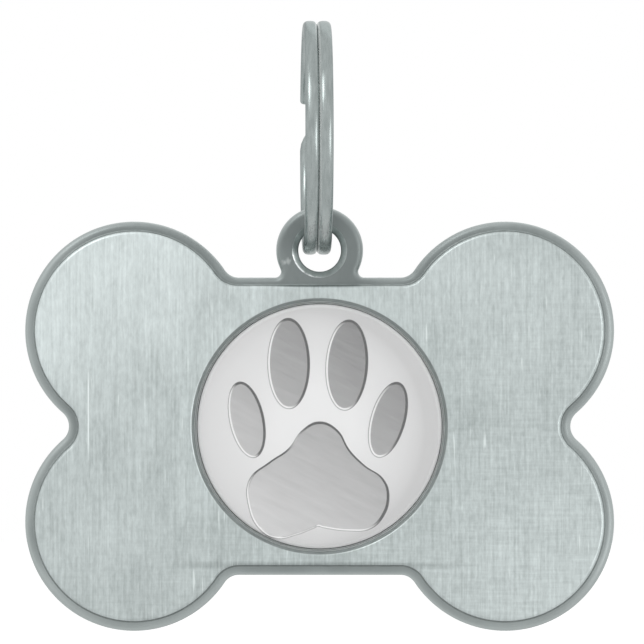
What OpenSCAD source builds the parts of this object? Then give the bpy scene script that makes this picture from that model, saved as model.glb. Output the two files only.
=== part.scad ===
// Bone-shaped pet tag: a cast metal plate with a raised brushed face and an eye at its
// top, a crowned round insert glued into a seat in the face, and a split ring of two
// turns of wire through the eye. Millimetres.
// The tag hangs upright, as on a collar, with its front towards -Y. The origin is where
// the collar's loop bears on the inside of the ring.

/* [Plate] */
// Width of the plate across its lobes
plate_w = 40; // [38:0.5:48]
// Radius of each of the four lobes
lobe_r = 7.4; // [7:0.1:7.8]
// Height of the lobe centres above and below the middle of the plate
lobe_rise = 6.5; // [6:0.1:7]
// Height of the waist between the lobes
waist_h = 20.2; // [19.8:0.1:21.4]
// Radius of the hollow where a lobe meets the waist
neck_r = 1.15; // [0.8:0.05:1.6]
// Radius of the hollow where two lobes meet at the side
notch_r = 1.2; // [0.8:0.05:1.8]
// Thickness of the plate at its border and eye
plate_t = 1.8; // [1.5:0.1:2.4]
// Rounding of the plate's front edge
front_round = 0.42; // [0.25:0.01:0.42]
// Rounding of the plate's back edge
back_round = 0.35; // [0.2:0.05:0.5]

/* [Raised face] */
// How far the brushed face stands above the border
face_rise = 0.6; // [0.4:0.05:0.9]
// Width of the border round the face
border_w = 0.78; // [0.6:0.02:0.9]
// Width of the border along the top of the waist
top_border_w = 0.46; // [0.44:0.02:0.8]
// Rounding of the face's edge
face_round = 0.22; // [0.1:0.02:0.35]

/* [Eye] */
// Outer diameter of the eye
eye_d = 5.9; // [5.5:0.1:6.4]
// Height of the eye's centre above the waist's top edge
eye_rise = 1.85; // [1.6:0.05:2.2]
// Diameter of the eye's bore
eye_bore = 2.9; // [2.8:0.1:3.2]
// Width of the bevel at the bore's two mouths
mouth_bevel = 0.42; // [0.2:0.02:0.5]
// Depth of that bevel
mouth_sink = 0.25; // [0.15:0.01:0.4]
// Radius of the hollows at the eye's foot
foot_r = 0.4; // [0.3:0.05:0.6]

/* [Insert] */
// Diameter of the insert over its clear cover
insert_d = 17; // [15.5:0.1:17.1]
// How far the insert's middle stands above its rim
crown_h = 0.45; // [0.3:0.05:0.7]
// Radius of the insert's rolled rim
rim_r = 0.7; // [0.65:0.05:0.95]
// Straight height of the insert's side below the rolled rim
side_h = 0.3; // [0.1:0.05:0.4]
// Thickness of the clear cover
cover_t = 0.1; // [0.08:0.01:0.12]
// Thickness of the printed disc
print_t = 0.2; // [0.15:0.01:0.22]
// Depth of the paw below the disc's surface
paw_depth = 0.1; // [0.05:0.01:0.12]
// Thickness of the pressed shell under the disc
shell_t = 0.2; // [0.15:0.01:0.24]
// Thickness of the adhesive pad under the shell
pad_t = 0.2; // [0.1:0.05:0.3]
// Diameter of the adhesive pad
pad_d = 16.2; // [14.5:0.1:16.4]
// Depth of the seat below the raised face
seat_depth = 1.2; // [1.1:0.05:1.6]
// Bevel round the seat's mouth
seat_bevel = 0.08; // [0.05:0.01:0.2]

/* [Split ring] */
// Outer diameter of the ring
ring_d = 15.9; // [14:0.1:18]
// Diameter of the wire
wire_d = 0.95; // [0.8:0.01:1]
// Squareness of the wire's section: 2 is round, and a higher number is squarer
wire_square = 2.8; // [2:0.1:3.2]
// Angle above the ring's middle, at the back, where the wire crosses over
cross_at = 2.5; // [-40:0.5:40]
// Angle over which the wire crosses from one turn to the other
cross_span = 16; // [12:1:30]
// Angle between each cut end and the crossing
end_span = 7; // [4:1:15]
// Rounding of the wire's cut ends
end_round = 0.15; // [0.05:0.01:0.3]
// How far the ring has turned from square to the plate
ring_turn = 1.5; // [0:0.5:3]

/* [Clearances] */
// Gap between the insert and the wall of its seat
seat_gap = 0.15; // [0.1:0.05:0.5]
// Film of glue between the insert's layers
glue_t = 0.02; // [0.01:0.005:0.03]
// Gap between the ring's two turns
turn_gap = 0.04; // [0.02:0.01:0.08]
// Play of the wires in the eye's bore, above them
ring_play = 0.45; // [0.35:0.05:0.5]
// How far the ring lies to the left in the bore
ring_shift = 0.2; // [0:0.05:0.25]

/* [Hidden] */

// Overrun of a cut past the face it opens in
over = 0.2;
// Two points nearer than this are one point
same_point = 0.001;
// Steps along each arc of the outlines: the lobes, the hollows between them, the eye
// and the hollows at its foot
lobe_steps = 28;
hollow_steps = 4;
eye_steps = 20;
foot_steps = 4;
// Largest turn between two rings of points along the wire
wire_step = 5.6;
// Points round the wire, and round each toe of the paw
wire_sides = 12;
toe_sides = 36;
// Points on each stretch of the paw's pad
pad_steps = 4;
// Steps of each rounded edge of the plate
back_steps = 2;
front_steps = 4;
face_steps = 3;
// Steps across the insert's crown and round its rim
crown_steps = 6;
rim_steps = 8;
// Width of the wire's end face, as a share of the wire
end_share = 0.7;

// Sizes of the plate
lobe_x = plate_w / 2 - lobe_r;
waist_top = waist_h / 2;
face_top = plate_t + face_rise;
eye_r = eye_d / 2;
eye_up = waist_top + eye_rise;
bore_r = eye_bore / 2;

// Sizes of the insert, whose base lies on the adhesive pad
insert_r = insert_d / 2;
seat_r = insert_r + seat_gap;
seat_floor = face_top - seat_depth;
crown_r = (pow(insert_r, 2) + pow(crown_h, 2)) / (2 * crown_h);
crown_z = side_h - sqrt(pow(crown_r - rim_r, 2) - pow(insert_r - rim_r, 2));
crown_end = atan2(side_h - crown_z, insert_r - rim_r);
print_in = cover_t + glue_t;
shell_in = print_in + print_t + glue_t;
print_r = insert_r - print_in;

// Places of the ring and of the plate's middle, counted down from the origin
wire_r = wire_d / 2;
turn_x = (wire_d + turn_gap) / 2;
ring_r = ring_d / 2 - wire_r;
ring_z = wire_d - ring_d / 2;
wires_up = sqrt(pow(bore_r - wire_r - ring_play, 2) - pow(turn_x, 2));
eye_z = ring_z - ring_r - wires_up;
plate_z = eye_z - eye_up;

// The paw's toes: place, half width and half height as shares of the disc's radius,
// and how far each leans to the left
toe_shares = [[-0.58, 0.056, 0.137, 0.31], [-0.238, 0.52, 0.169, 0.366],
    [0.24, 0.507, 0.169, 0.366], [0.577, 0.056, 0.137, 0.312]];
toe_leans = [12, 0.5, -3.5, -16];
// The paw's pad: its middle and half size as shares of the disc's radius, and the
// points of its outline as shares of that half size, clockwise from the top
pad_place_share = [0.004, -0.437];
pad_size_share = [0.579, 0.475];
pad_shares = [[0.02, 1], [0.27, 0.86], [0.44, 0.52], [0.66, 0.25], [0.92, 0.02],
    [1, -0.27], [0.9, -0.66], [0.72, -0.84], [0.44, -0.88], [0.03, -0.8],
    [-0.32, -0.95], [-0.58, -1], [-0.82, -0.85], [-0.98, -0.46], [-0.97, 0.01],
    [-0.69, 0.31], [-0.42, 0.54], [-0.21, 0.87]];

// Outlines are chains of arcs. Each arc is a centre, a radius, two angles, which are
// those of the outward normal, and a number of steps. A hollow arc has a negative
// radius, so that an inset draws every arc in alike and the chain stays joined.
function arc_points(arc, inset) =
    [for (i = [0:arc[5]]) let (a = arc[3] + (arc[4] - arc[3]) * i / arc[5])
        [arc[0] + (arc[2] - inset) * cos(a), arc[1] + (arc[2] - inset) * sin(a)]];

function chain_points(arcs, inset) =
    let (all = [for (arc = arcs) each arc_points(arc, inset)], n = len(all))
    [for (i = [0:n - 1]) if (norm(all[i] - all[(i + n - 1) % n]) > same_point) all[i]];

function last_to_first(arcs) = [for (i = [len(arcs) - 1:-1:0]) arcs[i]];
function mirror_x(arcs) =
    [for (a = last_to_first(arcs)) [-a[0], a[1], a[2], 180 - a[4], 180 - a[3], a[5]]];
function mirror_y(arcs) =
    [for (a = last_to_first(arcs)) [a[0], -a[1], a[2], -a[4], -a[3], a[5]]];

// One quarter of the bone: half of the side hollow, a lobe, and the neck's hollow
function bone_quarter(lobe, waist, neck, notch) =
    let (side_x = lobe_x + sqrt(pow(lobe + notch, 2) - pow(lobe_rise, 2)),
        neck_up = waist + neck - lobe_rise,
        neck_in = sqrt(pow(lobe + neck, 2) - pow(neck_up, 2)),
        low = -asin(lobe_rise / (lobe + notch)),
        high = atan2(neck_up, -neck_in))
    [[side_x, 0, -notch, 0, low, hollow_steps],
        [lobe_x, lobe_rise, lobe, low, high, lobe_steps],
        [lobe_x - neck_in, waist + neck, -neck, high, 90, hollow_steps]];

// The eye stands on the waist, with a hollow at each side of its foot
function eye_arcs() =
    let (foot_up = foot_r - eye_rise,
        foot_x = sqrt(pow(eye_r + foot_r, 2) - pow(foot_up, 2)),
        low = atan2(foot_up, foot_x))
    [[foot_x, waist_top + foot_r, -foot_r, 90, low, foot_steps],
        [0, eye_up, eye_r, low, 180 - low, eye_steps],
        [-foot_x, waist_top + foot_r, -foot_r, 180 - low, 90, foot_steps]];

// The plate's outline, counter-clockwise from the middle of its right side
plate_quarter = bone_quarter(lobe_r, waist_top, neck_r, notch_r);
plate_arcs = concat(plate_quarter, eye_arcs(), mirror_x(plate_quarter),
    mirror_x(mirror_y(plate_quarter)), mirror_y(plate_quarter));

// The raised face's outline, which has the same points but for the eye's
function face_quarter(waist_border) = bone_quarter(lobe_r - border_w,
    waist_top - waist_border, neck_r + border_w, notch_r + border_w);
face_arcs = concat(face_quarter(top_border_w), mirror_x(face_quarter(top_border_w)),
    mirror_x(mirror_y(face_quarter(border_w))), mirror_y(face_quarter(border_w)));

// A rounded edge as pairs of inset and height, from the wall to the flat or back
function edge_steps(round, wall_z, way, steps) =
    [for (i = [0:steps]) let (a = 90 * i / steps)
        [round * (1 - cos(a)), wall_z + way * round * sin(a)]];

function level_points(arcs, levels) =
    [for (l = levels) for (p = chain_points(arcs, l[0])) [p[0], p[1], l[1]]];

// Walls between rings of n points, the first of which starts at point from
function ring_walls(from, n, rings) =
    [for (k = [0:rings - 2]) for (i = [0:n - 1]) let (j = (i + 1) % n, a = from + k * n)
        [a + i, a + n + i, a + n + j, a + j]];

// Triangles between a middle point and each two neighbours of a ring of points
function fan(middle, ring) = [for (i = [0:len(ring) - 1])
    [middle, ring[i], ring[(i + 1) % len(ring)]]];

// Strips across the eye, each between two points at its right and two at its left
function eye_strips(right, left) = [for (k = [0:(left - right) / 2 - 1])
    let (a = right + k, b = left - k) a + 1 == b - 1 ? [a, a + 1, b] : [a, a + 1, b - 1, b]];

function flipped(faces) = [for (f = faces) last_to_first(f)];

// The uncut casting: the plate and eye up to the border, and the raised face from there
module blank() {
    plate_levels = concat(
        last_to_first(edge_steps(back_round, back_round, -1, back_steps)),
        edge_steps(front_round, plate_t - front_round, 1, front_steps));
    face_levels = concat([[0, plate_t]],
        edge_steps(face_round, face_top - face_round, 1, face_steps));
    n = len(chain_points(plate_arcs, 0));
    m = len(chain_points(face_arcs, 0));
    // The last point before the eye in each ring, the eye's two feet, and the point
    // that follows the eye in the plate's rings
    before = len(chain_points(plate_quarter, 0)) - 2;
    right = before + 1;
    after = right + n - m;
    left = after - 1;
    rim = (len(plate_levels) - 1) * n;
    foot = rim + n;
    top = foot + (len(face_levels) - 1) * m;
    back_middle = top + m;
    face_middle = back_middle + 1;
    back = concat(fan(back_middle, [for (i = [0:n - 1]) if (i <= right || i >= left) i]),
        eye_strips(right, left));
    border = [for (i = [0:m - 1]) let (j = (i + 1) % m, skip = n - m) if (i != before)
        [rim + (i > before ? i + skip : i), foot + i, foot + j,
            rim + (j > before ? j + skip : j)]];
    eye_front = concat(flipped(eye_strips(rim + right, rim + left)),
        [[foot + before, foot + before + 1, rim + after, rim + left, rim + right,
            rim + before]]);
    face = flipped(fan(face_middle, [for (i = [0:m - 1]) top + i]));
    polyhedron(concat(level_points(plate_arcs, plate_levels),
        level_points(face_arcs, face_levels), [[0, 0, 0], [0, 0, face_top]]),
        concat(back, ring_walls(0, n, len(plate_levels)), border, eye_front,
            ring_walls(foot, m, len(face_levels)), face));
}

// Moves what lies on its back, face up, to where it hangs
module hang() {
    translate([0, plate_t / 2, plate_z]) rotate([90, 0, 0]) children();
}

// Cast plate with its eye, raised face, and seat for the insert
module tag_body() {
    color([0.78, 0.81, 0.81]) hang() difference() {
        blank();
        translate([0, eye_up, 0]) eye_hole();
        translate([0, 0, seat_floor]) seat_hole();
    }
}

// Bore of the eye, bevelled at both mouths. The bevels run on past the faces.
module eye_hole() {
    wide = bore_r + mouth_bevel * (mouth_sink + over) / mouth_sink;
    rotate_extrude($fn = 96) polygon([[0, -over], [wide, -over], [bore_r, mouth_sink],
        [bore_r, plate_t - mouth_sink], [wide, plate_t + over], [0, plate_t + over]]);
}

// Round seat, bevelled at its mouth
module seat_hole() {
    rotate_extrude($fn = 180) polygon([[0, 0], [seat_r, 0],
        [seat_r, seat_depth - seat_bevel], [seat_r + seat_bevel + over, seat_depth + over],
        [0, seat_depth + over]]);
}

// Lifts what belongs to the insert onto the adhesive pad
module on_pad() {
    hang() translate([0, 0, seat_floor + pad_t]) children();
}

// The insert's profile, from the axis to its side, drawn in by inset
function cap_side(inset) = concat(
    arc_points([0, crown_z, crown_r, 90, crown_end, crown_steps], inset),
    arc_points([insert_r - rim_r, side_h, rim_r, crown_end, 0, rim_steps], inset),
    [[insert_r - inset, 0]]);
function cap_profile(inset) =
    let (all = cap_side(inset), n = len(all))
    [for (i = [0:n - 1]) if (i == 0 || norm(all[i] - all[i - 1]) > same_point) all[i]];

// One layer of the insert, between two insets of its profile
module cap_layer(from, to) {
    rotate_extrude($fn = 180)
        polygon(concat(cap_profile(from), last_to_first(cap_profile(to))));
}

// What lies deeper in the insert than an inset
module cap_core(inset) {
    rotate_extrude($fn = 180) polygon(concat([[0, 0]], cap_profile(inset)));
}

// Double-sided pad that holds the insert in its seat
module adhesive_pad() {
    color([0.93, 0.92, 0.88]) hang() translate([0, 0, seat_floor])
        cylinder(h = pad_t, d = pad_d, $fn = 120);
}

// Pressed sheet-metal shell that gives the insert its crown and rolled rim
module backing_shell() {
    color([0.7, 0.72, 0.72]) on_pad() cap_layer(shell_in, shell_in + shell_t);
}

// White disc over the shell, with the paw pressed into it
module printed_disc() {
    color([0.93, 0.93, 0.93]) on_pad() difference() {
        cap_layer(print_in, print_in + print_t);
        difference() {
            paw(crown_h + rim_r + side_h);
            cap_core(print_in + paw_depth);
        }
    }
}

// Paw: four toes and a pad, each an upright block as high as the insert
module paw(height) {
    for (i = [0:len(toe_shares) - 1]) {
        toe = print_r * toe_shares[i];
        translate([toe[0], toe[1], 0]) rotate([0, 0, toe_leans[i]])
            linear_extrude(height) polygon([for (k = [0:toe_sides - 1])
                let (a = 360 * k / toe_sides) [toe[2] * cos(a), toe[3] * sin(a)]]);
    }
    place = print_r * pad_place_share;
    size = print_r * pad_size_share;
    translate([place[0], place[1], 0]) linear_extrude(height)
        polygon([for (p = smooth_loop(pad_shares, pad_steps))
            [size[0] * p[0], size[1] * p[1]]]);
}

// A smooth closed curve through all the points given
function smooth_loop(p, steps) = let (n = len(p))
    [for (i = [0:n - 1]) for (k = [0:steps - 1]) let (t = k / steps, a = p[(i + n - 1) % n],
        b = p[i], c = p[(i + 1) % n], d = p[(i + 2) % n])
        b + t * ((c - a) / 2 + t * (a - 2.5 * b + 2 * c - d / 2
            + t * (1.5 * (b - c) + (d - a) / 2)))];

// Clear film that covers the disc and its rim
module clear_cover() {
    color([0.9, 0.95, 1, 0.35]) on_pad() cap_layer(0, cover_t);
}

// Line of the ring's wire: it starts just above the crossing, in the left turn, goes
// once round, crosses to the right turn and goes round again
cross_from = cross_at - cross_span / 2;
cross_to = cross_at + cross_span / 2;
wire_from = cross_to + end_span;
wire_to = cross_from - end_span + 720;

// Share of the crossing that the wire has made at an angle, and its rate per degree
function crossed(a) = let (t = min(1, max(0, (a - 360 - cross_from) / cross_span)))
    t * t * (3 - 2 * t);
function cross_rate(a) = let (t = min(1, max(0, (a - 360 - cross_from) / cross_span)))
    6 * t * (1 - t) / cross_span;

// Ring of points round the wire at an angle, square to the wire
function wire_section(a, radius) =
    let (middle = [turn_x * (2 * crossed(a) - 1), ring_r * cos(a), ring_r * sin(a)],
        outward = [0, cos(a), sin(a)],
        slope = 2 * turn_x * cross_rate(a) * 180 / PI / ring_r,
        along = [slope, -sin(a), cos(a)] / norm([slope, 1]),
        side = cross(outward, along))
    [for (k = [0:wire_sides - 1]) let (b = 360 * k / wire_sides,
        fill = pow(abs(cos(b)), wire_square) + pow(abs(sin(b)), wire_square))
        middle + radius * (cos(b) * outward + sin(b) * side) / pow(fill, 1 / wire_square)];

// Split ring: two turns of wire side by side, crossing over once at the back
module split_ring() {
    end_angle = end_round / ring_r * 180 / PI;
    run = wire_to - wire_from - 2 * end_angle;
    count = ceil(run / wire_step);
    sections = concat([wire_section(wire_from, end_share * wire_r)],
        [for (i = [0:count])
            wire_section(wire_from + end_angle + run * i / count, wire_r)],
        [wire_section(wire_to, end_share * wire_r)]);
    n = wire_sides;
    last = (len(sections) - 1) * n;
    walls = [for (k = [0:len(sections) - 2]) for (i = [0:n - 1]) let (j = (i + 1) % n,
        a = k * n) each [[a + i, a + j, a + n + j], [a + i, a + n + j, a + n + i]]];
    first_face = [for (i = [n - 1:-1:0]) i];
    last_face = [for (i = [0:n - 1]) last + i];
    color([0.6, 0.63, 0.62]) translate([-ring_shift, 0, ring_z]) rotate([0, 0, ring_turn])
        polyhedron([for (s = sections) each s], concat([first_face, last_face], walls));
}

tag_body();
adhesive_pad();
backing_shell();
printed_disc();
clear_cover();
split_ring();
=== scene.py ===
import math

import bmesh
import bpy
from mathutils import Matrix, Vector


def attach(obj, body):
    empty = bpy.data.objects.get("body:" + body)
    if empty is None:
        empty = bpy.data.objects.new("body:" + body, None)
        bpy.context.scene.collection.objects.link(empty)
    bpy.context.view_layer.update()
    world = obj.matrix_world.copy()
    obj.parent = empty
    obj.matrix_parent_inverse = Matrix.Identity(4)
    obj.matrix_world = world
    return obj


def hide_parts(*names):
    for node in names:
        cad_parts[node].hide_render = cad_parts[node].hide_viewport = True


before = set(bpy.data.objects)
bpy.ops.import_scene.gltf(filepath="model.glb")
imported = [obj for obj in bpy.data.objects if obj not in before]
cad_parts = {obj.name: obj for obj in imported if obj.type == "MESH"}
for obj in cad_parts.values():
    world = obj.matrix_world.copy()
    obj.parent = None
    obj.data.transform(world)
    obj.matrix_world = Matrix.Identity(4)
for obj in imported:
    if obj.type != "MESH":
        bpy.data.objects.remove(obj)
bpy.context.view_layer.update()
scene = bpy.context.scene

# The plate. One zinc casting: a bone-shaped plate with a low border, a raised face, a
# round seat sunk in the face and an eye at the top. It is tumbled smooth and nickel
# plated, and then the raised face and the back are brushed from top to bottom.
MM = 0.001  # all sizes are in millimetres, and places on a material in metres
PLATE_Z, EYE_Z, SEAT_Z = -26.6, -14.65, -26.6
BACK, FRONT, FACE, SEAT_FLOOR = 0.9, -0.9, -1.5, -0.3
LOBE, LOBE_X, LOBE_UP = 7.4, 12.6, 6.5
WAIST_UP, NECK, NOTCH = 10.1, 1.15, 1.2
EYE, EYE_UP, BORE, FOOT = 2.95, 11.95, 1.45, 0.4
BORDER, TOP_BORDER = 0.68, 0.56
FRONT_ROUND, BACK_ROUND, FACE_ROUND, CORNER = 0.42, 0.35, 0.22, 0.16
SEAT, SEAT_BEVEL, MOUTH_BEVEL, MOUTH_SINK = 8.44, 0.32, 0.42, 0.25
MOUTH_TOP, MOUTH_FOOT = [(0.09, 0.035)], [(0.07, 0.055), (0.02, 0.01), (0, -0.04)]
SEAT_EDGE_SHARES = [(0, 0.95), (0.3, 0.6), (0.66, 0.22), (0.8, 0.07), (1, 0)]
ROOT_WIDER, ROOT_LOWER, CUT_PAST = 0.01, 0.03, 0.3
HOLLOW_STEPS, LOBE_STEPS, EYE_STEPS, FOOT_STEPS = 10, 72, 64, 8
BRUSHED = ((0.25, 0.283, 0.278), (0.731, 0.8, 0.796))
DEEP_SCRATCH, LONG_SCRATCH = (0.76, 0.82, 0.81), (0.77, 0.83, 0.825)
PLATED_SHADE_TO_SHEEN = ((0.195, 0.219, 0.217), (0.41, 0.45, 0.445))
LIP, LIP_GLINT = ((0.33, 0.365, 0.36), (0.43, 0.47, 0.465)), (0.95, 0.97, 0.97)
RECESS, SHADED_RECESS = ((0.26, 0.29, 0.285), (0.34, 0.375, 0.37)), (0.12, 0.134, 0.132)
BEVEL, SEAT_WALL = ((0.25, 0.276, 0.272), (0.325, 0.356, 0.351)), (0.85, 0.88, 0.875)
POLISH_AND_GLINT = (0.6, 0.64, 0.63)
LONG_SCRATCH_AT = (-0.01569, 0, -0.0257)
EYE_GLINT_AT = (-0.0023, -0.0009, -0.01545)


def bone_quarter(lobe, waist, neck, notch):
    """Half the side hollow, a lobe and the neck's hollow, as arcs: centre, radius, first and
    last angle of the outward normal, steps. A hollow's radius is negative."""
    side = LOBE_X + math.sqrt((lobe + notch) ** 2 - LOBE_UP ** 2)
    up = waist + neck - LOBE_UP
    across = math.sqrt((lobe + neck) ** 2 - up ** 2)
    low = -math.degrees(math.asin(LOBE_UP / (lobe + notch)))
    high = math.degrees(math.atan2(up, -across))
    return [(side, 0, -notch, 0, low, HOLLOW_STEPS),
            (LOBE_X, LOBE_UP, lobe, low, high, LOBE_STEPS),
            (LOBE_X - across, waist + neck, -neck, high, 90, HOLLOW_STEPS)]


def eye_arcs():
    """The eye and the hollows at its two feet."""
    up = FOOT - (EYE_UP - WAIST_UP)
    across = math.sqrt((EYE + FOOT) ** 2 - up ** 2)
    low = math.degrees(math.atan2(up, across))
    return [(across, WAIST_UP + FOOT, -FOOT, 90, low, FOOT_STEPS),
            (0, EYE_UP, EYE, low, 180 - low, EYE_STEPS),
            (-across, WAIST_UP + FOOT, -FOOT, 180 - low, 90, FOOT_STEPS)]


def left_half(arcs):
    """The arcs mirrored from right to left, in the order of the outline."""
    return [(-x, up, r, 180 - b, 180 - a, n) for x, up, r, a, b, n in reversed(arcs)]


def lower_half(arcs):
    """The arcs mirrored from top to bottom, in the order of the outline."""
    return [(x, -up, r, -b, -a, n) for x, up, r, a, b, n in reversed(arcs)]


def whole_bone(upper, lower, top=()):
    """The whole outline from its upper and lower quarters, with what stands on its top."""
    return (upper + list(top) + left_half(upper)
            + left_half(lower_half(lower)) + lower_half(lower))


def outline(arcs, inset, y, least=0.001):
    """A closed ring of points along a chain of arcs, each spun from one point, all drawn in
    by inset. Points closer than the least distance are one."""
    bm = bmesh.new()
    ring = []
    for x, up, radius, start, end, steps in arcs:
        turn, r = math.radians(start), radius - inset
        first = bm.verts.new((x + r * math.cos(turn), y, PLATE_Z + up + r * math.sin(turn)))
        bmesh.ops.spin(bm, geom=[first], cent=(x, y, PLATE_Z + up), axis=(0, -1, 0),
                       angle=math.radians(end - start), steps=steps)
        bm.verts.ensure_lookup_table()
        ring += [v.co.copy() for v in bm.verts[len(ring):]]
    bm.free()
    return [p for i, p in enumerate(ring) if (p - ring[i - 1]).length > least]


def ring_of(bm, points):
    """The points as a closed ring of edges."""
    dots = [bm.verts.new(p) for p in points]
    return [bm.edges.new(pair) for pair in zip(dots, dots[1:] + dots[:1])]


def skin(bm, rings):
    """Bridges each ring to the next and closes both ends."""
    for a, b in zip(rings, rings[1:]):
        bmesh.ops.bridge_loops(bm, edges=a + b)
    for end in (rings[0], rings[-1]):
        bmesh.ops.contextual_create(bm, geom=end)


def slab(arcs, levels):
    """A closed solid through an outline at each level of inset and place."""
    bm = bmesh.new()
    skin(bm, [ring_of(bm, outline(arcs, inset, y)) for inset, y in levels])
    bmesh.ops.recalc_face_normals(bm, faces=bm.faces)
    return bm


def rounding(radius, y, way, steps):
    """Pairs of inset and place for a rounded edge, from the wall to the flat at y."""
    turns = [math.pi / 2 * i / steps for i in range(steps + 1)]
    return [(radius * (1 - math.cos(a)), y + way * radius * (1 - math.sin(a))) for a in turns]


def clean(bm, least):
    """Merges what is closer than the least distance and turns all faces outwards."""
    bmesh.ops.remove_doubles(bm, verts=bm.verts, dist=least)
    bmesh.ops.dissolve_degenerate(bm, edges=bm.edges, dist=least)
    bmesh.ops.recalc_face_normals(bm, faces=bm.faces)


def lathe(profile, sides=192, z=SEAT_Z, least=0.0004):
    """Spins a profile of radius and place, which ends on the axis or closes, round an axis
    that runs front to back."""
    bm = bmesh.new()
    points = [bm.verts.new((r, y, z)) for r, y in profile]
    edges = [bm.edges.new(pair) for pair in zip(points, points[1:])]
    if profile[0][0] > 0 or profile[-1][0] > 0:
        edges.append(bm.edges.new((points[-1], points[0])))
    bmesh.ops.spin(bm, geom=points + edges, cent=(0, 0, z), axis=(0, 1, 0),
                   angle=2 * math.pi, steps=sides, use_merge=True)
    clean(bm, least)
    return bm


def mesh_of(bm, name):
    """The bmesh as a mesh. The bmesh goes."""
    mesh = bpy.data.meshes.new(name)
    bm.to_mesh(mesh)
    bm.free()
    return mesh


def placed(name, data):
    """A new object in the scene."""
    made = bpy.data.objects.new(name, data)
    scene.collection.objects.link(made)
    return made


def join(target, other, way="DIFFERENCE"):
    """Cuts the other solid from the target, or unites the two, and removes the other."""
    modifier = target.modifiers.new("join", "BOOLEAN")
    modifier.operation, modifier.solver, modifier.object = way, "EXACT", other
    bpy.context.view_layer.update()
    ready = target.evaluated_get(bpy.context.evaluated_depsgraph_get())
    mesh = bpy.data.meshes.new_from_object(ready)
    target.modifiers.clear()
    target.data = mesh
    bpy.data.objects.remove(other)


def taken_back(made):
    """The object's mesh as a bmesh again. The object goes."""
    bm = bmesh.new()
    bm.from_mesh(made.data)
    bpy.data.objects.remove(made)
    return bm


def from_axis(v, z):
    """A point's distance from an axis that runs front to back."""
    return math.hypot(v.co.x, v.co.z - z)


def piece(name, bm, finishes, body, node, sharp=32, many=12):
    """Turns a finished mesh in millimetres into a piece in metres, on its body. Edges are
    sharp past an angle in degrees, and all round a flat of many sides."""
    for e in bm.edges:
        on_flat = any(len(f.verts) >= many for f in e.link_faces)
        e.smooth = e.calc_face_angle(0) < math.radians(sharp) and not on_flat
    bmesh.ops.scale(bm, vec=(MM, MM, MM), verts=bm.verts)
    made = placed(name, mesh_of(bm, name))
    for f in made.data.polygons:
        f.use_smooth = True
    for each in finishes:
        made.data.materials.append(each)
    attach(made, body)
    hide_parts(node)


def add(tree, kind, inputs=None, **settings):
    """A shader node with its settings, its inputs set to values or linked to sockets."""
    node = tree.nodes.new(kind)
    for key, value in settings.items():
        setattr(node, key, value)
    for key, value in (inputs or {}).items():
        if isinstance(value, bpy.types.NodeSocket):
            tree.links.new(value, node.inputs[key])
        else:
            node.inputs[key].default_value = value
    return node


def finish_named(name, **settings):
    """A new material, its node tree and its main shader."""
    made = bpy.data.materials.new(name)
    made.use_nodes = True
    shader = made.node_tree.nodes["Principled BSDF"]
    for key, value in settings.items():
        shader.inputs[key.replace("_", " ").title()].default_value = value
    return made, made.node_tree, shader


def feed(tree, shader, **sockets):
    """Links sockets to the shader's inputs of those names."""
    for key, value in sockets.items():
        tree.links.new(value, shader.inputs[key.replace("_", " ").title()])


def maths(tree, operation, *values):
    """A sum on values and sockets."""
    inputs = dict(enumerate(values))
    return add(tree, "ShaderNodeMath", inputs, operation=operation).outputs["Value"]


def vector(tree, operation, *values, result="Vector"):
    """A sum on vectors, or a measure of them."""
    inputs = dict(enumerate(values))
    return add(tree, "ShaderNodeVectorMath", inputs, operation=operation).outputs[result]


def along(tree, place, direction):
    """How far a place or a normal reaches along a direction."""
    return vector(tree, "DOT_PRODUCT", place, direction, result="Value")


def fade(tree, value, start, end, low=0.0, high=1.0):
    """Goes from low to high as the value goes from start to end, and stays there."""
    inputs = {"Value": value, "From Min": start, "From Max": end, "To Min": low, "To Max": high}
    return add(tree, "ShaderNodeMapRange", inputs).outputs["Result"]


def at_point(tree):
    """The point's place on the object, in metres."""
    return add(tree, "ShaderNodeTexCoord").outputs["Object"]


def facing(tree):
    """The way the surface faces at the point."""
    return add(tree, "ShaderNodeTexCoord").outputs["Normal"]


def parts_of(tree, place):
    """The X, Y and Z of a place or a normal."""
    return add(tree, "ShaderNodeSeparateXYZ", {0: place}).outputs


def ramp(tree, value, *stops):
    """A colour ramp through stops of place and colour."""
    node = add(tree, "ShaderNodeValToRGB", {"Fac": value})
    for i, (place, colour) in enumerate(stops):
        stop = node.color_ramp.elements[i] if i < 2 else node.color_ramp.elements.new(place)
        stop.position, stop.color = place, (*colour, 1)
    return node.outputs["Color"]


def between(tree, value, colours, start=0.3, end=0.7):
    """From the first colour to the last as the value goes from start to end."""
    return ramp(tree, value, (start, colours[0]), (end, colours[1]))


def grey(level):
    return (level, level, level)


def noise(tree, scales, detail=3, rough=0.6, turn=0.0):
    """Noise with its own scale along each axis of the object, in cycles a metre, turned
    about the axis that runs front to back."""
    turned = add(tree, "ShaderNodeMapping", {"Vector": at_point(tree), "Rotation": (0, turn, 0)})
    sized = add(tree, "ShaderNodeMapping", {"Vector": turned.outputs["Vector"], "Scale": scales})
    return add(tree, "ShaderNodeTexNoise", {"Vector": sized.outputs["Vector"], "Scale": 1,
                                            "Detail": detail, "Roughness": rough}).outputs["Fac"]


def mixed(tree, first, second, share):
    """A socket mixed with a second socket or a colour."""
    if not isinstance(second, bpy.types.NodeSocket):
        second = (*second, 1)
    return add(tree, "ShaderNodeMix", {6: first, 7: second, 0: share}, data_type="RGBA").outputs[2]


def bump(tree, shader, height, strength, distance):
    """Makes the surface uneven, by a height that goes up to a distance in metres."""
    node = add(tree, "ShaderNodeBump",
               {"Height": height, "Strength": strength, "Distance": distance})
    feed(tree, shader, normal=node.outputs["Normal"])


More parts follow.
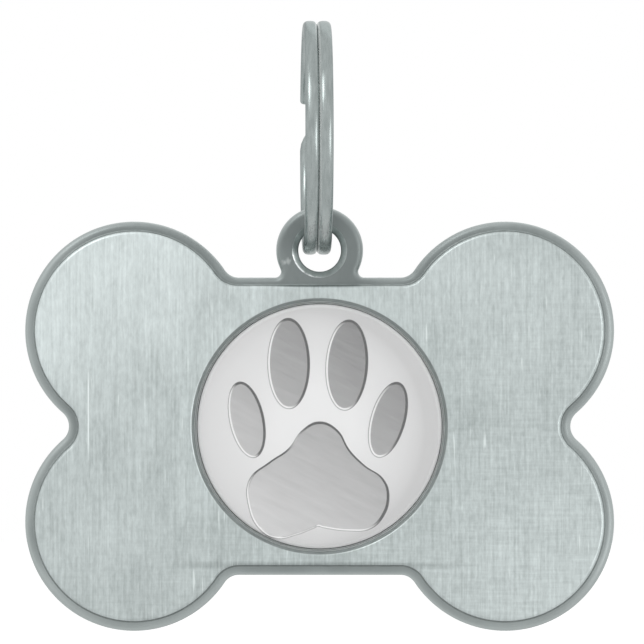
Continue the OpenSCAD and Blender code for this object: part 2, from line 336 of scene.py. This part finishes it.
def brushed_nickel(name, front):
    """The raised face and the back: fine scratches that run up the tag, a few of them deep and
    bright, over faint clouds and cross rubs, with painted light that makes them brightest at the
    top of the lobes and lighter towards the top and left. The face is darker along a line where
    its lower lobes meet its waist, and its left end has one long scratch."""
    made, tree, shader = finish_named(name, metallic=1.0, roughness=0.4)
    place = at_point(tree)
    middle = vector(tree, "SUBTRACT", place, (0, 0, PLATE_Z * MM))
    at = parts_of(tree, middle)
    away = parts_of(tree, vector(tree, "ABSOLUTE", middle))

    fine = noise(tree, (7000, 700, 260))
    bands = noise(tree, (3400, 300, 110))
    strokes = noise(tree, (4200, 700, 1500), rough=0.65)
    cloud = noise(tree, (330, 330, 260), detail=4)
    cross = noise(tree, (500, 300, 6000))
    cross_share = fade(tree, along(tree, middle, (15, 0, -22)), -0.25, 0.25, high=0.6)
    grain = mixed(tree, mixed(tree, fine, bands, 0.4), strokes, 0.38)
    grain = mixed(tree, grain, mixed(tree, cloud, cross, cross_share), 0.28)
    grain = fade(tree, grain, 0.12, 0.88)

    # Painted light: the grade lightens the top, the left, the lobes, and the upper left and lower
    # right.
    lobes = fade(tree, maths(tree, "MULTIPLY", away["X"], away["Z"]), 0.0, 0.00009, high=0.07)
    grade = maths(tree, "ADD", lobes, along(tree, middle, (-1.8, 0, 5)))
    grade = maths(tree, "MULTIPLY_ADD", maths(tree, "MULTIPLY", at["X"], at["Z"]), -380, grade)
    # On the face only: darker along a line where the lower lobes meet the waist.
    if front:
        low = maths(tree, "ABSOLUTE", maths(tree, "ADD", at["Z"], (WAIST_UP - BORDER) * MM))
        low = fade(tree, low, 0.00005, 0.0003, low=1.0, high=0.0)
        waist_end = fade(tree, away["X"], 0.0075, 0.0105, low=0.14, high=0.0)
        grade = maths(tree, "SUBTRACT", grade, maths(tree, "MULTIPLY", low, waist_end))
    colour = between(tree, maths(tree, "ADD", grain, grade), BRUSHED, 0.19, 0.85)

    deep = noise(tree, (6500, 200, 420), detail=1, rough=0.5)
    deep = between(tree, deep, (grey(0), grey(1)), 0.7, 0.8)
    colour = mixed(tree, colour, DEEP_SCRATCH, maths(tree, "MULTIPLY", deep, 0.6))
    if front:
        off = vector(tree, "ABSOLUTE", vector(tree, "SUBTRACT", place, LONG_SCRATCH_AT))
        wide = fade(tree, parts_of(tree, off)["X"], 0.00003, 0.00006, low=1.0, high=0.0)
        long = fade(tree, parts_of(tree, off)["Z"], 0.0018, 0.0033, low=1.0, high=0.0)
        colour = mixed(tree, colour, LONG_SCRATCH, maths(tree, "MULTIPLY", wide, long))
    feed(tree, shader, base_color=colour, roughness=fade(tree, fine, 0.3, 0.7, 0.36, 0.48))
    bump(tree, shader, fine, 0.1, 0.00002)
    return made


def plated_nickel():
    """The border, the edges and the eye: plating over a tumbled surface, faintly orange-peeled,
    with painted light that makes it brighter on its rounded edges, at the ends and low on the
    lobes, and a painted highlight left of the eye."""
    made, tree, shader = finish_named("plated_nickel", metallic=1.0, roughness=0.34)
    at = parts_of(tree, at_point(tree))
    rubs = noise(tree, (2600, 2600, 900))
    # Painted reflection: dark where the plating faces the front, lighter on the rounded edges.
    flat = maths(tree, "ABSOLUTE", parts_of(tree, facing(tree))["Y"])
    dark = maths(tree, "SUBTRACT", flat, maths(tree, "MULTIPLY", rubs, 0.16))
    # Painted light: lighter towards the ends.
    ends = fade(tree, maths(tree, "ABSOLUTE", at["X"]), 0.007, 0.019, -0.08, 0.12)
    patches = noise(tree, (170, 170, 170), detail=2, rough=0.5)
    dark = maths(tree, "SUBTRACT", dark, maths(tree, "MULTIPLY_ADD", patches, 0.5, ends))
    # Painted reflection: lighter low on the lobes.
    dark = maths(tree, "SUBTRACT", dark, fade(tree, at["Z"], -0.034, -0.0365, high=0.16))
    colour = between(tree, dark, PLATED_SHADE_TO_SHEEN[::-1], 0.3, 0.8)

    # Painted highlight left of the eye.
    near = vector(tree, "DISTANCE", at_point(tree), EYE_GLINT_AT, result="Value")
    near = maths(tree, "MULTIPLY_ADD", rubs, 0.0012, near)
    colour = mixed(tree, colour, POLISH_AND_GLINT, fade(tree, near, 0.0006, 0.0009, low=0.7, high=0.0))
    feed(tree, shader, base_color=colour, roughness=fade(tree, rubs, 0.35, 0.75, 0.44, 0.54))
    bump(tree, shader, noise(tree, (500, 500, 500), detail=4, rough=0.55), 0.07, 0.00003)
    return made


def lip_painted_light():
    """The lip of the eye's mouth, lighter than the plating round it as painted light, with a
    painted highlight at its lower left.
    """
    made, tree, shader = finish_named("lip_painted_light", metallic=1.0, roughness=0.32)
    rubs = noise(tree, (1800, 1800, 1800))
    middle = vector(tree, "SUBTRACT", at_point(tree), (0, 0, EYE_Z * MM))
    out = vector(tree, "MULTIPLY", middle, (1 / MM, 0, 1 / MM))
    out = vector(tree, "LENGTH", out, result="Value")
    edge = BORE + MOUTH_BEVEL
    lip = fade(tree, out, edge - 0.13, edge - 0.07)
    # Painted highlight at the lower left of the lip.
    lip_glint = maths(tree, "ADD", rubs, along(tree, middle, (-350, 0, -360)))
    lip_glint = maths(tree, "MULTIPLY", fade(tree, lip_glint, 1.2, 1.4), lip)
    feed(tree, shader, base_color=mixed(tree, between(tree, rubs, LIP), LIP_GLINT, lip_glint))
    bump(tree, shader, rubs, 0.15, 0.00003)
    return made


def recess_nickel():
    """The corner at the foot of the raised face, and the seat, dark with painted shade, darkest
    where the corner faces down."""
    made, tree, shader = finish_named("recess_nickel", metallic=1.0, roughness=0.6)
    # Painted shade: the corner is dark all over, and darker where it faces down.
    rubs = noise(tree, (2600, 2600, 2600))
    shaded = fade(tree, along(tree, facing(tree), (-0.35, 0, 0.94)), 0.2, -0.7, high=0.4)
    feed(tree, shader, base_color=mixed(tree, between(tree, rubs, RECESS), SHADED_RECESS, shaded))
    bump(tree, shader, rubs, 0.2, 0.00002)
    return made


def seat_edge_shade_and_light():
    """The seat's wide bevel, darkened as painted shade, and the wall below it, pale and dull as
    painted light against the shade of the gap round the insert."""
    made, tree, shader = finish_named("seat_edge_shade_and_light", roughness=0.55)
    rubs = noise(tree, (900, 5000, 900))
    # Painted light on the wall below the bevel, painted shade on the bevel.
    wall = fade(tree, parts_of(tree, at_point(tree))["Y"],
                (FACE + 0.7 * SEAT_BEVEL) * MM, (FACE + 1.1 * SEAT_BEVEL) * MM)
    feed(tree, shader, base_color=mixed(tree, between(tree, rubs, BEVEL), SEAT_WALL, wall),
         metallic=maths(tree, "MULTIPLY_ADD", wall, -0.7, 1.0))
    bump(tree, shader, rubs, 0.1, 0.00002)
    return made


quarter = bone_quarter(LOBE, WAIST_UP, NECK, NOTCH)
upper_face = bone_quarter(LOBE - BORDER, WAIST_UP - TOP_BORDER, NECK + BORDER, NOTCH + BORDER)
lower_face = bone_quarter(LOBE - BORDER, WAIST_UP - BORDER, NECK + BORDER, NOTCH + BORDER)
back_edge = rounding(BACK_ROUND, BACK, -1, steps=6)[::-1]
front_edge = rounding(FRONT_ROUND, FRONT, 1, steps=8)
plate = slab(whole_bone(quarter, quarter, eye_arcs()), back_edge + front_edge)
plate = placed("plate", mesh_of(plate, "plate"))
wider = -CORNER - ROOT_WIDER
root = [(wider, 0.5 * FRONT), (wider, FRONT + ROOT_LOWER)]
turns = [math.radians(15 * i) for i in range(1, 7)]
foot = [(CORNER * (math.sin(a) - 1), FRONT - CORNER * (1 - math.cos(a))) for a in turns]
top = rounding(FACE_ROUND, FACE, 1, steps=6)
raised = slab(whole_bone(upper_face, lower_face), root + foot + top)
join(plate, placed("raised", mesh_of(raised, "raised")), "UNION")
rim = BORE + MOUTH_BEVEL
spread = rim + CUT_PAST * MOUTH_BEVEL / MOUTH_SINK
mouth = [(rim - across, FRONT + down) for across, down in MOUTH_TOP]
mouth += [(BORE + across, FRONT + MOUTH_SINK - up) for across, up in MOUTH_FOOT]
bore = lathe([(0, FRONT - CUT_PAST), (spread, FRONT - CUT_PAST), (rim, FRONT)] + mouth
             + [(BORE, BACK - MOUTH_SINK), (spread, BACK + CUT_PAST), (0, BACK + CUT_PAST)],
             sides=96, z=EYE_Z)
join(plate, placed("bore", mesh_of(bore, "bore")))
bevel = [(SEAT + out * SEAT_BEVEL, FACE + down * SEAT_BEVEL) for out, down in SEAT_EDGE_SHARES]
seat = lathe([(0, SEAT_FLOOR), (SEAT, SEAT_FLOOR)] + bevel
             + [(SEAT + SEAT_BEVEL + CUT_PAST, FACE - CUT_PAST), (0, FACE - CUT_PAST)], sides=240)
join(plate, placed("seat", mesh_of(seat, "seat")))

bm = taken_back(plate)
bmesh.ops.remove_doubles(bm, verts=bm.verts, dist=0.0005)
bmesh.ops.recalc_face_normals(bm, faces=bm.faces)
ON_FACE, IN_RECESS, ON_LIP, ON_SEAT_EDGE, ON_BACK = range(1, 6)
LEVEL_SLACK, WALL_SLACK, SLACK = 0.004, 0.05, 0.01
for f in bm.faces:
    mid = f.calc_center_median()
    out = max(from_axis(v, SEAT_Z) for v in f.verts)
    in_seat = out < SEAT + 0.9 * SEAT_BEVEL
    if mid.y < FACE + 0.9 * FACE_ROUND and not in_seat:
        f.material_index = ON_FACE
    elif in_seat and out > SEAT - WALL_SLACK and mid.y < SEAT_FLOOR - SLACK:
        f.material_index = ON_SEAT_EDGE
    elif mid.y < FRONT - LEVEL_SLACK or in_seat and f.normal.y < 0.5:
        f.material_index = IN_RECESS
    elif all(from_axis(v, EYE_Z) < rim + SLACK for v in f.verts):
        f.material_index = ON_LIP
    elif min(v.co.y for v in f.verts) > BACK - SLACK:
        f.material_index = ON_BACK
piece("cast_plate", bm, [plated_nickel(), brushed_nickel("brushed_face", front=True),
                         recess_nickel(), lip_painted_light(), seat_edge_shade_and_light(),
                         brushed_nickel("brushed_back", front=False)], "tag", "tag_body")

# The pad. A thin disc of double-sided foam, die cut, stuck to the seat's floor. It holds
# the insert, which hides it.
PAD, PAD_T, PAD_EDGE = 8.1, 0.2, 0.02
FOAM = ((0.74, 0.72, 0.65), (0.84, 0.82, 0.76))


def foam_adhesive():
    """Cream foam with fine open cells."""
    made, tree, shader = finish_named("foam_adhesive", roughness=0.85)
    cells = noise(tree, (5200, 5200, 5200))
    feed(tree, shader, base_color=between(tree, cells, FOAM))
    bump(tree, shader, cells, 0.4, 0.00004)
    return made


bm = lathe([(0, SEAT_FLOOR), (PAD - PAD_EDGE, SEAT_FLOOR), (PAD, SEAT_FLOOR - PAD_EDGE),
            (PAD, SEAT_FLOOR - PAD_T + PAD_EDGE), (PAD - PAD_EDGE, SEAT_FLOOR - PAD_T),
            (0, SEAT_FLOOR - PAD_T)], sides=144)
piece("foam_pad", bm, [foam_adhesive()], "tag", "adhesive_pad")

# The shell. A button blank pressed from thin steel sheet, which gives the insert its low
# crown and its rolled rim. The print and its cover are wrapped over it.
INSERT, CROWN_UP, RIM, SIDE = 8.42, 0.45, 0.5, 0.5
BASE = SEAT_FLOOR - PAD_T
COVER_T, PRINT_T, SHELL_T, GLUE = 0.1, 0.2, 0.2, 0.02
CROWN = (INSERT ** 2 + CROWN_UP ** 2) / (2 * CROWN_UP)
CROWN_Z = SIDE - math.sqrt((CROWN - RIM) ** 2 - (INSERT - RIM) ** 2)
CROWN_END = math.atan2(SIDE - CROWN_Z, INSERT - RIM)
STEEL = ((0.4, 0.41, 0.41), (0.5, 0.51, 0.51))


def cap_side(inset, across=26, round_rim=14):
    """The insert's profile from its axis to its foot, drawn in by inset, in a number of
    steps across the crown and round the rim."""
    crown = [math.pi / 2 + (CROWN_END - math.pi / 2) * i / across for i in range(across + 1)]
    rim = [CROWN_END * (1 - i / round_rim) for i in range(1, round_rim + 1)]
    side = [((CROWN - inset) * math.cos(a), BASE - CROWN_Z - (CROWN - inset) * math.sin(a))
            for a in crown]
    side += [(INSERT - RIM + (RIM - inset) * math.cos(a),
              BASE - SIDE - (RIM - inset) * math.sin(a)) for a in rim]
    return [(0, side[0][1])] + side[1:] + [(INSERT - inset, BASE)]


def layer(outer, thick, **steps):
    """One layer of the insert, from its outer face inwards."""
    return lathe(cap_side(outer, **steps) + cap_side(outer + thick, **steps)[::-1])


def pressed_steel():
    """Bare sheet with the rolling grain across it."""
    made, tree, shader = finish_named("pressed_steel", metallic=1.0, roughness=0.35)
    grain = noise(tree, (400, 400, 5000), detail=4)
    feed(tree, shader, base_color=between(tree, grain, STEEL))
    bump(tree, shader, grain, 0.2, 0.00003)
    return made


bm = layer(COVER_T + PRINT_T + 2 * GLUE, SHELL_T)
piece("pressed_shell", bm, [pressed_steel()], "tag", "backing_shell")

# The print. A white disc moulded over the shell, with the paw pressed into it and
# printed in a brushed silver grey. Outlines in the paw are shares of PAW.
UNDER_COVER = COVER_T + GLUE
PRINT = INSERT - UNDER_COVER
PAW, PAW_DEEP, PAW_SLOPE, PAW_LIP = 8.28, 0.1, 0.125, 0.06
LIP_DEEP, LIP_WIDE = 0.8 * PAW_LIP, 1.25 * PAW_LIP
PAW_CUT_FROM, PAW_CUT_TO = BASE - 3, BASE - 0.05
TOES = [(-0.597, 0.054, 0.122, 0.297, 12), (-0.254, 0.515, 0.153, 0.352, 0.5),
        (0.222, 0.502, 0.153, 0.352, -3.5), (0.56, 0.054, 0.122, 0.299, -16)]
PALM_AT, PALM_SIZE = (-0.012, -0.441), (0.562, 0.46)
PALM_EDGE = [(0.02, 1), (0.27, 0.86), (0.44, 0.52), (0.66, 0.25), (0.92, 0.02), (1, -0.27),
             (0.9, -0.66), (0.72, -0.84), (0.44, -0.87), (0.06, -0.81), (0, -0.79),
             (-0.06, -0.82), (-0.32, -0.94), (-0.58, -1), (-0.82, -0.85), (-0.98, -0.46),
             (-0.97, 0.01), (-0.69, 0.31), (-0.42, 0.54), (-0.21, 0.87)]


def below_print(x, z, depth):
    """Where a point lies from front to back, at a depth below the print's surface."""
    r = min(math.hypot(x, z - SEAT_Z), PRINT - 0.001)
    if r < (CROWN - UNDER_COVER) * math.cos(CROWN_END):
        return BASE - CROWN_Z - math.sqrt((CROWN - UNDER_COVER) ** 2 - r * r) + depth
    return BASE - SIDE - math.sqrt((RIM - UNDER_COVER) ** 2 - (r - INSERT + RIM) ** 2) + depth


def smooth_ring(bm, points):
    """Adds a closed ring of edges on a smooth curve through the points."""
    curve = bpy.data.curves.new("palm_edge", "CURVE")
    curve.dimensions = "3D"
    spline = curve.splines.new("BEZIER")
    spline.bezier_points.add(len(points) - 1)
    for knot, (x, z) in zip(spline.bezier_points, points):
        knot.co = (x, 0, z)
        knot.handle_left_type = knot.handle_right_type = "AUTO"
    spline.use_cyclic_u, spline.resolution_u = True, 6
    holder = placed("palm_edge", curve)
    bpy.context.view_layer.update()
    bm.from_mesh(holder.to_mesh())
    bpy.data.objects.remove(holder)


def paw_rings(bm, grown, depth, flat=None):
    """The outlines of the toes and the palm, grown outwards, at a depth below the print's
    surface or on a flat. A toe is its middle, its half width and height, and its lean."""
    rings = []
    upright = Matrix.Rotation(math.pi / 2, 4, "X")
    for x, z, wide, high, lean in TOES:
        dots = bmesh.ops.create_circle(bm, radius=1, segments=64, matrix=upright)["verts"]
        bmesh.ops.scale(bm, vec=(wide * PAW + grown, 1, high * PAW + grown), verts=dots)
        bmesh.ops.rotate(bm, cent=(0, 0, 0), verts=dots,
                         matrix=Matrix.Rotation(-math.radians(lean), 3, "Y"))
        bmesh.ops.translate(bm, vec=(x * PAW, 0, SEAT_Z + z * PAW), verts=dots)
        rings.append(list({e for v in dots for e in v.link_edges}))
    wide, high = (share * PAW + grown for share in PALM_SIZE)
    before = len(bm.edges)
    smooth_ring(bm, [(PALM_AT[0] * PAW + wide * x, SEAT_Z + PALM_AT[1] * PAW + high * z)
                     for x, z in PALM_EDGE])
    bm.edges.ensure_lookup_table()
    rings.append(bm.edges[before:])
    for v in {v for ring in rings for e in ring for v in e.verts}:
        v.co.y = below_print(v.co.x, v.co.z, depth) if flat is None else flat
    return rings


def from_middle(tree):
    """A point's place across the disc, counted from its middle, in disc radii."""
    size = 1 / (PRINT * MM)
    return add(tree, "ShaderNodeMapping",
               {"Vector": at_point(tree), "Location": (0, 0, -SEAT_Z / PRINT),
                "Scale": (size, 0, size)}).outputs["Vector"]


def white_print():
    """White, with painted shade that greys it towards the rim and most at the right, and painted
    light that makes it white again round its very edge, with a fine calendered grain."""
    made, tree, shader = finish_named("white_print", roughness=0.5)
    place = from_middle(tree)
    out = vector(tree, "LENGTH", place, result="Value")
    # Painted shade: greyer towards the rim and most at the right.
    inner = maths(tree, "ADD", out, along(tree, place, (0.12, 0, 0.03)))
    inner = ramp(tree, inner, (0.3, grey(0.92)), (0.97, grey(0.63)), (0.8, grey(0.77)),
                 (0.92, grey(0.69)))
    # Painted light: white again round the very edge, where the rim rolls away.
    feed(tree, shader, base_color=mixed(tree, inner, grey(0.9), fade(tree, out, 0.965, 0.995)))
    bump(tree, shader, noise(tree, (2500, 2500, 2500)), 0.08, 0.00002)
    return made


def silver_print():
    """Grey print over the pressed paw, graded from the palm up to the toes and faintly
    brushed at a slant."""
    made, tree, shader = finish_named("silver_print", metallic=0.15, roughness=0.42)
    grade = along(tree, from_middle(tree), (-0.156, 0, -0.215))
    streaks = noise(tree, (2800, 200, 350), detail=4, rough=0.65, turn=1.1)
    level = maths(tree, "ADD", grade, fade(tree, streaks, 0.3, 0.7, 0.4, 0.475))
    feed(tree, shader, base_color=between(tree, level, (grey(0), grey(1)), 0.0, 1.0))
    bump(tree, shader, streaks, 0.1, 0.00002)
    return made


def print_wall(name, start, end, low, high):
    """The print where it rounds the paw, dark on the sides that face down or left and light
    on the others. The roll of the rim, which faces outwards too, is taken out."""
    made, tree, shader = finish_named(name, roughness=0.4)
    out = vector(tree, "LENGTH", from_middle(tree), result="Value")
    rolled = fade(tree, out, 0.95, 0.99, high=0.7)
    lit = maths(tree, "ADD", along(tree, facing(tree), (0.7, 0.0, 0.7)), rolled)
    share = fade(tree, lit, start, end)
    feed(tree, shader, base_color=between(tree, share, (grey(low), grey(high)), 0.0, 1.0))
    return made


bm = bmesh.new()
levels = [paw_rings(bm, PAW_SLOPE + LIP_WIDE, 0, PAW_CUT_FROM),
          paw_rings(bm, PAW_SLOPE + LIP_WIDE, -0.25 * LIP_DEEP),
          paw_rings(bm, PAW_SLOPE, LIP_DEEP),
          paw_rings(bm, -0.5 * PAW_SLOPE, PAW_DEEP + 0.5 * (PAW_DEEP - LIP_DEEP)),
          paw_rings(bm, -0.5 * PAW_SLOPE, 0, PAW_CUT_TO)]
for rings in zip(*levels):
    skin(bm, rings)
bmesh.ops.recalc_face_normals(bm, faces=bm.faces)
paw = placed("paw_cut", mesh_of(bm, "paw_cut"))
paw_floor = lathe(cap_side(UNDER_COVER + PAW_DEEP, across=30) + [(0, BASE)])
join(paw, placed("paw_floor", mesh_of(paw_floor, "paw_floor")))
disc = placed("disc", mesh_of(layer(UNDER_COVER, PRINT_T, across=40), "disc"))
join(disc, paw)
bm = taken_back(disc)
clean(bm, 0.002)
ON_PAW, ON_SLOPE, ON_PAW_LIP = range(1, 4)
for f in bm.faces:
    sunk = [v.co.y - below_print(v.co.x, v.co.z, 0) for v in f.verts]
    if min(sunk) > 0.8 * PAW_DEEP and max(sunk) < 1.5 * PAW_DEEP:
        f.material_index = ON_PAW
    elif 0.8 * LIP_DEEP < min(sunk) and max(sunk) < 1.2 * PAW_DEEP:
        f.material_index = ON_SLOPE
    elif 0.2 * LIP_DEEP < max(sunk) < 1.2 * LIP_DEEP:
        f.material_index = ON_PAW_LIP
piece("paw_disc", bm, [white_print(), silver_print(),
                       print_wall("print_slope", -0.08, 0.2, 0.02, 0.97),
                       print_wall("print_lip", -0.1, 0.3, 0.06, 0.38)],
      "tag", "printed_disc", sharp=40)

# The cover. Clear glossy film, drawn over the print and tucked under round the rim. Round the
# rim it is a pale milky sheet, painted light that lightens the gap round the insert.
FILM = (0.95, 0.96, 0.97)
MILKY = ((0.8, 0.83, 0.825), (0.9, 0.93, 0.925))
MILKY_WIDE = 0.09


def film(name, roughness, alpha):
    """A material of the film, before its colour."""
    made, tree, shader = finish_named(name, roughness=roughness, alpha=alpha)
    shader.inputs["IOR"].default_value = 1.49
    return made, tree, shader


def clear_film():
    """The film over the face of the print."""
    made, tree, shader = film("clear_film", 0.12, 0.07)
    shader.inputs["Base Color"].default_value = (*FILM, 1)
    return made


def milky_edge():
    """The film over the rim and under it, pale as painted light."""
    made, tree, shader = film("milky_edge", 0.4, 0.8)
    feed(tree, shader, base_color=between(tree, noise(tree, (1500, 1500, 1500)), MILKY))
    return made


bm = layer(0, COVER_T, across=30)
for f in bm.faces:
    f.material_index = min(from_axis(v, SEAT_Z) for v in f.verts) > INSERT - MILKY_WIDE
piece("film_cover", bm, [clear_film(), milky_edge()], "tag", "clear_cover")

# The split ring. Spring steel wire wound two turns, crossing from the left turn to the
# right one at the back, its ends cut square and tumbled, then nickel plated. The wire's
# section is a little squared.
WIRE, SQUARE, TURN_X, RING, RING_Z = 0.475, 2.8, 0.468, 7.475, -7.0
SQUEEZE = (0.996, 1.02, 1)
CROSS_AT, CROSS_SPAN, UPPER_END, LOWER_END, END_ROUND = 2.5, 16.0, 9.2, 7.0, 0.15
RING_SHIFT, RING_TURN = -0.2, 1.5
WIRE_SIDES, WIRE_STEPS = 32, 300
BRIGHT_WIRE = ((0.285, 0.32, 0.315), (0.38, 0.42, 0.415))
BETWEEN_TURNS, WIRE_TINT = (0.9, 0.93, 0.92), (0.6, 0.62, 0.62)
CROSSING_FROM, CROSSING_TO = 0.0063, 0.0067


def wire_place(turned):
    """The wire's place and direction at an angle from the back in degrees, as a matrix whose
    Z runs along the wire."""
    share = min(1, max(0, (turned - 360 - CROSS_AT + CROSS_SPAN / 2) / CROSS_SPAN))
    x = TURN_X * (2 * share * share * (3 - 2 * share) - 1)
    slope = 2 * TURN_X * 6 * share * (1 - share) / CROSS_SPAN / math.radians(1) / RING
    a = math.radians(turned)
    out = Vector((0, math.cos(a), math.sin(a)))
    ahead = Vector((slope, -math.sin(a), math.cos(a))).normalized()
    place = Matrix((out, out.cross(ahead) * -1, ahead)).transposed().to_4x4()
    return Matrix.Translation((x, RING * out.y, RING * out.z)) @ place


def ring_nickel():
    """Bright plating on wire, with fine drawing lines that run round it, polished where it bears
    on the eye. The valley between the turns is partly white, painted light, because it would be
    too dark by reflection alone."""
    made, tree, shader = finish_named("ring_nickel", metallic=1.0, roughness=0.26)
    at, normal = parts_of(tree, at_point(tree)), parts_of(tree, facing(tree))
    rubs = noise(tree, (6000, 900, 900), detail=4)
    side = maths(tree, "SIGN", maths(tree, "ADD", at["X"], -RING_SHIFT * MM))
    # Painted light: the sides of the turns that face each other are made white and dull.
    inward = fade(tree, maths(tree, "MULTIPLY", normal["X"], side), -0.45, -0.95)
    before_crossing = fade(tree, at["Y"], CROSSING_FROM, CROSSING_TO, low=1.0, high=0.0)
    inward = maths(tree, "MULTIPLY", inward, before_crossing)
    colour = mixed(tree, between(tree, rubs, BRIGHT_WIRE), BETWEEN_TURNS, inward)
    colour = mixed(tree, colour, POLISH_AND_GLINT, fade(tree, normal["Z"], -0.6, -0.98))
    feed(tree, shader, base_color=colour, metallic=maths(tree, "MULTIPLY_ADD", inward, -0.9, 1.0),
         roughness=fade(tree, rubs, 0.35, 0.7, 0.23, 0.35))
    shader.inputs["Specular Tint"].default_value = (*WIRE_TINT, 1)
    bump(tree, shader, rubs, 0.1, 0.00002)
    return made


bm = bmesh.new()
first = CROSS_AT + CROSS_SPAN / 2 + UPPER_END
last = CROSS_AT - CROSS_SPAN / 2 - LOWER_END + 720
stations = [first + (last - first) * i / WIRE_STEPS for i in range(WIRE_STEPS + 1)]
start = bmesh.ops.create_circle(bm, radius=WIRE, segments=WIRE_SIDES)["verts"]
for v in start:
    v.co /= sum(abs(part / WIRE) ** SQUARE for part in v.co) ** (1 / SQUARE)
bmesh.ops.scale(bm, vec=SQUEEZE, verts=start)
bmesh.ops.transform(bm, matrix=wire_place(stations[0]), verts=start)
section = list({e for v in start for e in v.link_edges})
caps = [section]
for before, after in zip(stations, stations[1:]):
    drawn = bmesh.ops.extrude_edge_only(bm, edges=section)["geom"]
    section = [e for e in drawn if isinstance(e, bmesh.types.BMEdge) and len(e.link_faces) == 1]
    bmesh.ops.transform(bm, matrix=wire_place(after) @ wire_place(before).inverted(),
                        verts=list({v for e in section for v in e.verts}))
caps.append(section)
ends = [bmesh.ops.contextual_create(bm, geom=cap)["faces"][0] for cap in caps]
bmesh.ops.bevel(bm, geom=[e for f in ends for e in f.edges], offset=END_ROUND, segments=5,
                affect="EDGES", profile=0.5, material=-1, clamp_overlap=False)
turned = Matrix.Rotation(math.radians(RING_TURN), 4, "Z")
bmesh.ops.transform(bm, matrix=Matrix.Translation((RING_SHIFT, 0, RING_Z)) @ turned,
                    verts=bm.verts)
bmesh.ops.recalc_face_normals(bm, faces=bm.faces)
piece("wire_ring", bm, [ring_nickel()], "ring", "split_ring", sharp=50)

# The studio. A pale floor below the hanging tag, a white room, and three soft lamps. The
# floor and the room give less light than they show. The camera stands straight before
# the tag. Lengths here are in metres.
FLOOR_Z, FLOOR_HALF = -0.12, 4
FLOOR_PALE, FLOOR_GLOW, GLOW_REACH, ROOM_LIGHT = 0.85, (0.2, 0.4), (0.12, 0.9), 0.74
AIM = (0, 0, -0.02)
CAMERA_X, CAMERA_Z, CAMERA_AWAY, SENSOR = 0.00016, -0.01952, 0.7, 36
PHOTO, PIXELS_A_MM = 644, 14.73


def looked_at(tree):
    """1 for rays from the camera, off a glossy surface or through the film, and 0 for those
    that only light things."""
    rays = add(tree, "ShaderNodeLightPath").outputs
    looked = maths(tree, "MAXIMUM", rays["Is Camera Ray"], rays["Is Glossy Ray"])
    return maths(tree, "MAXIMUM", looked, rays["Is Transmission Ray"])


def lamp(name, place, size, power):
    """A round soft lamp that points at the tag."""
    light = bpy.data.lights.new(name, "AREA")
    light.shape, light.size, light.energy = "DISK", size, power
    made = placed(name, light)
    made.location = place
    made.rotation_euler = (Vector(AIM) - Vector(place)).to_track_quat("-Z", "Y").to_euler()


bm = bmesh.new()
bmesh.ops.create_grid(bm, x_segments=1, y_segments=1, size=FLOOR_HALF,
                      matrix=Matrix.Translation((0, 0, FLOOR_Z)))
floor = placed("floor", mesh_of(bm, "floor"))
pale, tree, shader = finish_named("pale_floor", roughness=0.9)
shader.inputs["Base Color"].default_value = (*grey(FLOOR_PALE), 1)
shader.inputs["Emission Color"].default_value = (1, 1, 1, 1)
out = vector(tree, "LENGTH", at_point(tree), result="Value")
glow = fade(tree, out, *GLOW_REACH, *FLOOR_GLOW)
feed(tree, shader, emission_strength=maths(tree, "MULTIPLY", looked_at(tree), glow))
floor.data.materials.append(pale)

room = bpy.data.worlds.new("room")
scene.world = room
room.use_nodes = True
tree = room.node_tree
backdrop = tree.nodes["Background"]
backdrop.inputs["Color"].default_value = (1, 1, 1, 1)
feed(tree, backdrop, strength=fade(tree, looked_at(tree), 0.0, 1.0, low=ROOM_LIGHT))

lamp("key", (-0.2, -0.28, 0.33), 0.2, 0.36)
lamp("fill", (0.4, -0.45, -0.02), 0.28, 0.45)
lamp("back", (0.1, 0.5, 0.3), 0.5, 0.3)

view = placed("camera", bpy.data.cameras.new("camera"))
view.location = (CAMERA_X, -CAMERA_AWAY, CAMERA_Z)
view.rotation_euler = (math.pi / 2, 0, 0)
view.data.sensor_width = SENSOR
view.data.lens = SENSOR * (CAMERA_AWAY + FRONT * MM) / (PHOTO / PIXELS_A_MM * MM)
view.data.clip_start, view.data.clip_end = 0.01, 20
scene.camera = view
scene.view_settings.view_transform = "Standard"
